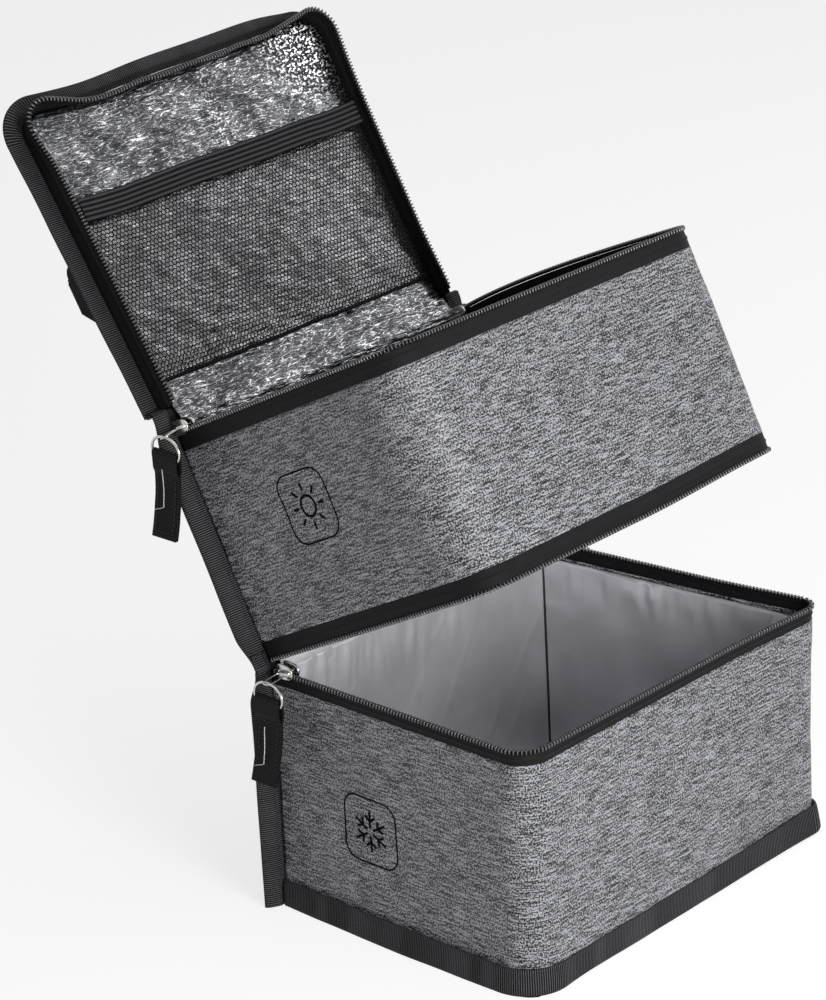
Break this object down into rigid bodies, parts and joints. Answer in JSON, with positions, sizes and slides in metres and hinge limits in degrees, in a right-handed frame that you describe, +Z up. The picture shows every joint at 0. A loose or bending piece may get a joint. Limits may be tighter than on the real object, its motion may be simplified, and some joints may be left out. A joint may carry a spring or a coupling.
{
  "type": "two-compartment cooler bag",
  "caption": "Soft insulated cooler bag with two zipped compartments that fan open about a back spine, lined lid with mesh pocket, and top handle.",
  "frame": {"origin": "centre of the base's underside, on the surface that the bag stands on", "axes": "+Z up, +X along the fold lines, -Y towards the front of the bag, spine at +Y"},
  "size_m": [0.2974, 0.4137, 0.4862],
  "materials": {
    "grey_heather_polyester": "heather grey woven polyester, matt",
    "black_polyester": "black woven polyester, matt",
    "black_ribbed_ribbon": "black grosgrain ribbon, ribbed",
    "zip_tape": "black woven zip tape",
    "zip_coil": "black nylon coil, slight sheen",
    "insulation_foam": "white closed-cell polyethylene foam",
    "stiffening_board": "grey polyethylene board",
    "silver_peva": "silver-grey PEVA film, satin",
    "aluminium_foil_film": "crinkled aluminised film",
    "black_net": "black polyester mesh",
    "black_elastic": "black ribbed elastic",
    "black_webbing": "black polyester webbing",
    "nickel_plate": "nickel-plated zinc, bright"
  },
  "bodies": {
    "lower": {"lower_gusset_wall": "grey_heather_polyester", "lower_wall_foam": "insulation_foam", "lower_spine_panel": "black_polyester", "lower_back_foam": "insulation_foam", "base_board": "stiffening_board", "base_foam": "insulation_foam", "lower_lining": "silver_peva", "base_binding": "black_ribbed_ribbon", "lower_back_binding_near": "black_ribbed_ribbon", "lower_back_binding_far": "black_ribbed_ribbon", "lower_zip_tape_bottom": "zip_tape", "lower_zip_chain_bottom": "zip_coil"},
    "middle": {"middle_gusset_wall": "grey_heather_polyester", "middle_wall_foam": "insulation_foam", "middle_spine_panel": "black_polyester", "middle_back_foam": "insulation_foam", "divider_cover": "silver_peva", "divider_foam": "insulation_foam", "middle_lining": "aluminium_foil_film", "middle_back_binding_near": "black_ribbed_ribbon", "middle_back_binding_far": "black_ribbed_ribbon", "lower_zip_tape_top": "zip_tape", "lower_zip_chain_top": "zip_coil", "upper_zip_tape_bottom": "zip_tape", "upper_zip_chain_bottom": "zip_coil"},
    "lid": {"lid_spine_panel": "black_polyester", "lid_foam": "insulation_foam", "lid_lining": "aluminium_foil_film", "upper_zip_tape_top": "zip_tape", "upper_zip_chain_top": "zip_coil", "lid_binding": "black_ribbed_ribbon", "pocket_net": "black_net", "pocket_elastic": "black_elastic", "handle_tab_near": "black_webbing", "handle_tab_far": "black_webbing"},
    "handle": {"carry_handle": "black_webbing"},
    "lower_near_zip_slider": {"lower_near_slider": "nickel_plate", "lower_near_pull_link": "nickel_plate"},
    "lower_near_zip_pull": {"lower_near_pull_ring": "nickel_plate", "lower_near_pull_webbing": "black_webbing"},
    "lower_far_zip_slider": {"lower_far_slider": "nickel_plate", "lower_far_pull_link": "nickel_plate"},
    "lower_far_zip_pull": {"lower_far_pull_ring": "nickel_plate", "lower_far_pull_webbing": "black_webbing"},
    "upper_near_zip_slider": {"upper_near_slider": "nickel_plate", "upper_near_pull_link": "nickel_plate"},
    "upper_near_zip_pull": {"upper_near_pull_ring": "nickel_plate", "upper_near_pull_webbing": "black_webbing"},
    "upper_far_zip_slider": {"upper_far_slider": "nickel_plate", "upper_far_pull_link": "nickel_plate"},
    "upper_far_zip_pull": {"upper_far_pull_ring": "nickel_plate", "upper_far_pull_webbing": "black_webbing"}
  },
  "joints": [
    {"name": "middle_hinge", "type": "hinge", "parent": "lower", "child": "middle", "pos_m": [0, 0.1025, 0.155], "axis": [-1, 0, 0], "range_deg": [-26, 49]},
    {"name": "lid_hinge", "type": "hinge", "parent": "middle", "child": "lid", "pos_m": [0, 0.17308, 0.29971], "axis": [-1, 0, 0], "range_deg": [-94, 71]},
    {"name": "handle_swing", "type": "hinge", "parent": "lid", "child": "handle", "pos_m": [0, 0.23883, 0.37259], "axis": [1, 0, 0], "range_deg": [-70, 70]},
    {"name": "lower_near_slide", "type": "slide", "parent": "lower", "child": "lower_near_zip_slider", "axis": [-0.0536, -0.9986, 0], "range_m": [0, 0.15]},
    {"name": "lower_near_pull_swing", "type": "hinge", "parent": "lower_near_zip_slider", "child": "lower_near_zip_pull", "pos_m": [-0.14181, 0.08786, 0.15326], "axis": [0.9986, -0.0536, 0], "range_deg": [-45, 45]},
    {"name": "lower_far_slide", "type": "slide", "parent": "lower", "child": "lower_far_zip_slider", "axis": [0.0536, -0.9986, 0], "range_m": [0, 0.15]},
    {"name": "lower_far_pull_swing", "type": "hinge", "parent": "lower_far_zip_slider", "child": "lower_far_zip_pull", "pos_m": [0.14181, 0.08786, 0.15326], "axis": [0.9986, 0.0536, 0], "range_deg": [-45, 45]},
    {"name": "upper_near_slide", "type": "slide", "parent": "middle", "child": "upper_near_zip_slider", "axis": [-0.0536, -0.8975, 0.4377], "range_m": [0, 0.155]},
    {"name": "upper_near_pull_swing", "type": "hinge", "parent": "upper_near_zip_slider", "child": "upper_near_zip_pull", "pos_m": [-0.14154, 0.15839, 0.29159], "axis": [0.9986, -0.0482, 0.0235], "range_deg": [-71, 19]},
    {"name": "upper_far_slide", "type": "slide", "parent": "middle", "child": "upper_far_zip_slider", "axis": [0.0536, -0.8975, 0.4377], "range_m": [0, 0.155]},
    {"name": "upper_far_pull_swing", "type": "hinge", "parent": "upper_far_zip_slider", "child": "upper_far_zip_pull", "pos_m": [0.14154, 0.15839, 0.29159], "axis": [0.9986, 0.0482, -0.0235], "range_deg": [-71, 19]}
  ]
}
